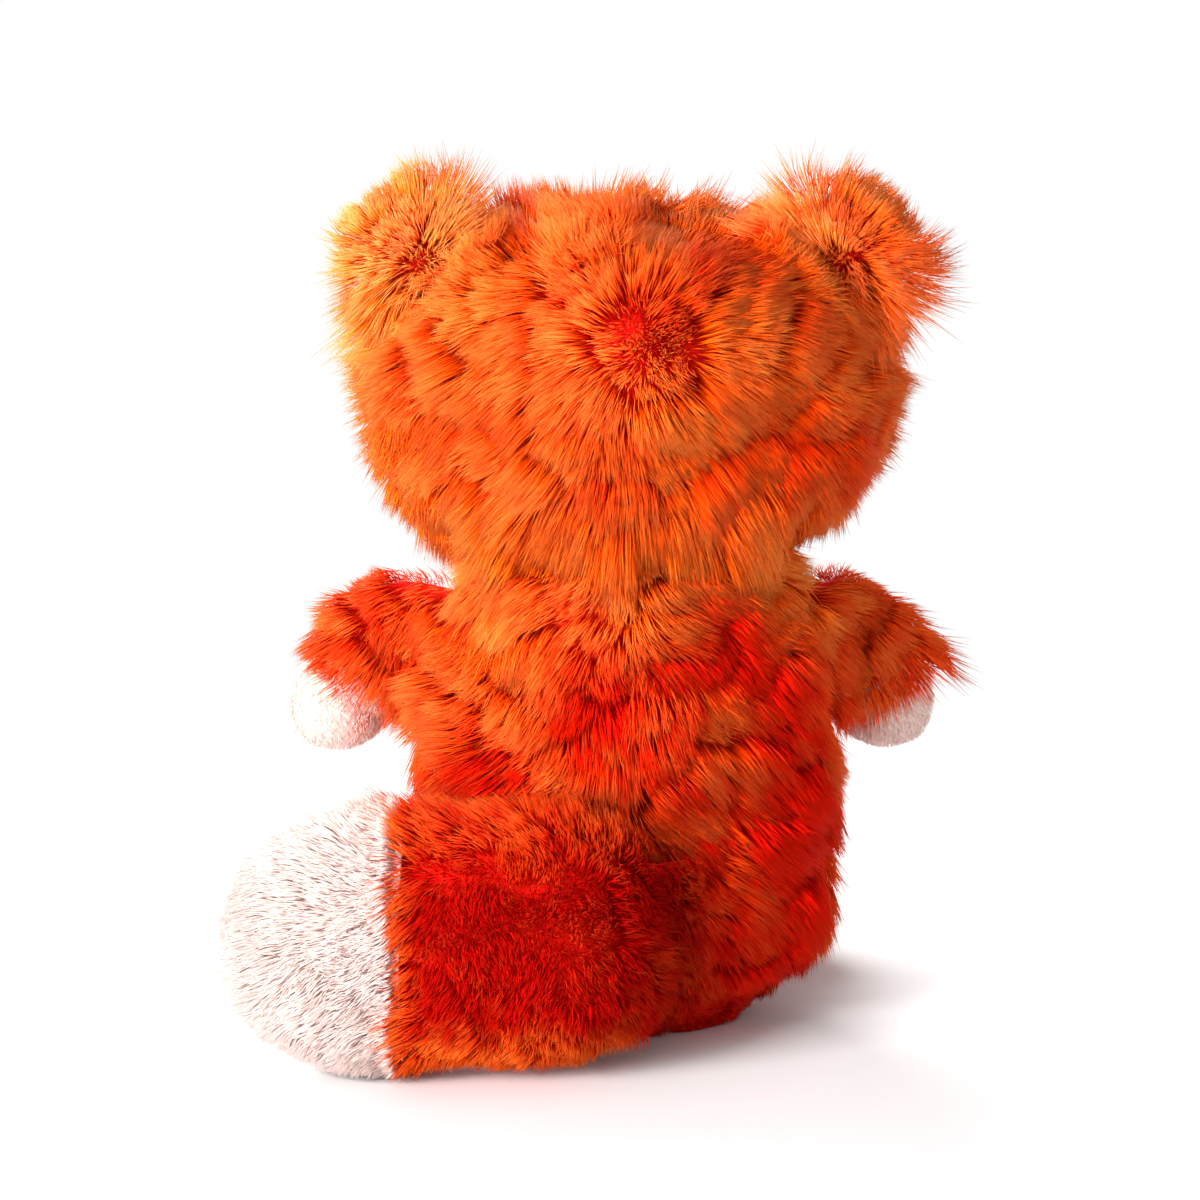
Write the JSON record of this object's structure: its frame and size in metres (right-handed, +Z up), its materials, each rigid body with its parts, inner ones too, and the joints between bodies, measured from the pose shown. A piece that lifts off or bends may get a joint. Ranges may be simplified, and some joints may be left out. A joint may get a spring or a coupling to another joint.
{
  "type": "plush dog toy",
  "caption": "Sitting long-pile plush animal dog toy with round ears, pale paws and a bushy pale-tipped tail, stuffed round a squeaker.",
  "frame": {"origin": "middle of the flat seat under the body, on the ground", "axes": "+Z up, the toy faces -Y, its own left side and tail point to +X"},
  "size_m": [0.1421, 0.1413, 0.175],
  "materials": {
    "orange_plush": "long-pile plush, orange-red",
    "pale_plush": "plush, off-white",
    "fibrefill": "loose polyester fibre",
    "dark_thread": "satin-stitch embroidery",
    "bulb_plastic": "soft moulded polyethylene",
    "reed_plastic": "thin plastic film"
  },
  "bodies": {
    "head": {"head_shell": "orange_plush", "head_filling": "fibrefill", "muzzle": "pale_plush", "nose": "dark_thread", "left_eye": "dark_thread", "left_cheek": "pale_plush", "right_eye": "dark_thread", "right_cheek": "pale_plush"},
    "left_ear": {"left_ear_back": "orange_plush", "left_ear_lining": "pale_plush"},
    "right_ear": {"right_ear_back": "orange_plush", "right_ear_lining": "pale_plush"},
    "body": {"body_shell": "orange_plush", "belly_panel": "pale_plush", "squeaker_bulb": "bulb_plastic", "squeaker_reed_holder": "bulb_plastic", "squeaker_reed": "reed_plastic", "body_filling_front": "fibrefill", "body_filling_back": "fibrefill"},
    "left_arm": {"left_arm_sleeve": "orange_plush", "left_paw": "pale_plush", "left_arm_filling": "fibrefill"},
    "left_leg": {"left_leg_sleeve": "orange_plush", "left_foot": "pale_plush", "left_leg_filling": "fibrefill"},
    "right_arm": {"right_arm_sleeve": "orange_plush", "right_paw": "pale_plush", "right_arm_filling": "fibrefill"},
    "right_leg": {"right_leg_sleeve": "orange_plush", "right_foot": "pale_plush", "right_leg_filling": "fibrefill"},
    "tail": {"tail_sleeve": "orange_plush", "tail_tip": "pale_plush", "tail_filling": "fibrefill"}
  },
  "joints": [
    {"name": "head_turn", "type": "hinge", "parent": "body", "child": "head", "pos_m": [0, 0, 0.1], "axis": [0, 0, 1], "range_deg": [-20, 20], "stiffness_Nm_per_rad": 0.05},
    {"name": "left_ear_fold", "type": "hinge", "parent": "head", "child": "left_ear", "pos_m": [0.04311, 0.003, 0.15905], "axis": [-0.7821, 0, 0.6232], "range_deg": [-25, 25], "stiffness_Nm_per_rad": 0.005},
    {"name": "right_ear_fold", "type": "hinge", "parent": "head", "child": "right_ear", "pos_m": [-0.04311, 0.003, 0.15905], "axis": [-0.7821, 0, -0.6232], "range_deg": [-25, 25], "stiffness_Nm_per_rad": 0.005},
    {"name": "left_arm_swing", "type": "hinge", "parent": "body", "child": "left_arm", "pos_m": [0.04076, -0.01096, 0.07749], "axis": [0.1687, -0.0444, -0.9847], "range_deg": [-20, 40], "stiffness_Nm_per_rad": 0.01},
    {"name": "right_arm_swing", "type": "hinge", "parent": "body", "child": "right_arm", "pos_m": [-0.04076, -0.01096, 0.07749], "axis": [0.1687, 0.0444, 0.9847], "range_deg": [-56, 4], "stiffness_Nm_per_rad": 0.01},
    {"name": "left_leg_lift", "type": "hinge", "parent": "body", "child": "left_leg", "pos_m": [0.01868, -0.03125, 0.0135], "axis": [-0.9703, -0.2419, 0], "range_deg": [0, 30], "stiffness_Nm_per_rad": 0.02},
    {"name": "right_leg_lift", "type": "hinge", "parent": "body", "child": "right_leg", "pos_m": [-0.01868, -0.03125, 0.0135], "axis": [-0.9703, 0.2419, 0], "range_deg": [0, 30], "stiffness_Nm_per_rad": 0.02},
    {"name": "tail_swing", "type": "hinge", "parent": "body", "child": "tail", "pos_m": [-0.005, 0.03811, 0.0265], "axis": [0, 0, 1], "range_deg": [0, 70], "stiffness_Nm_per_rad": 0.03}
  ]
}
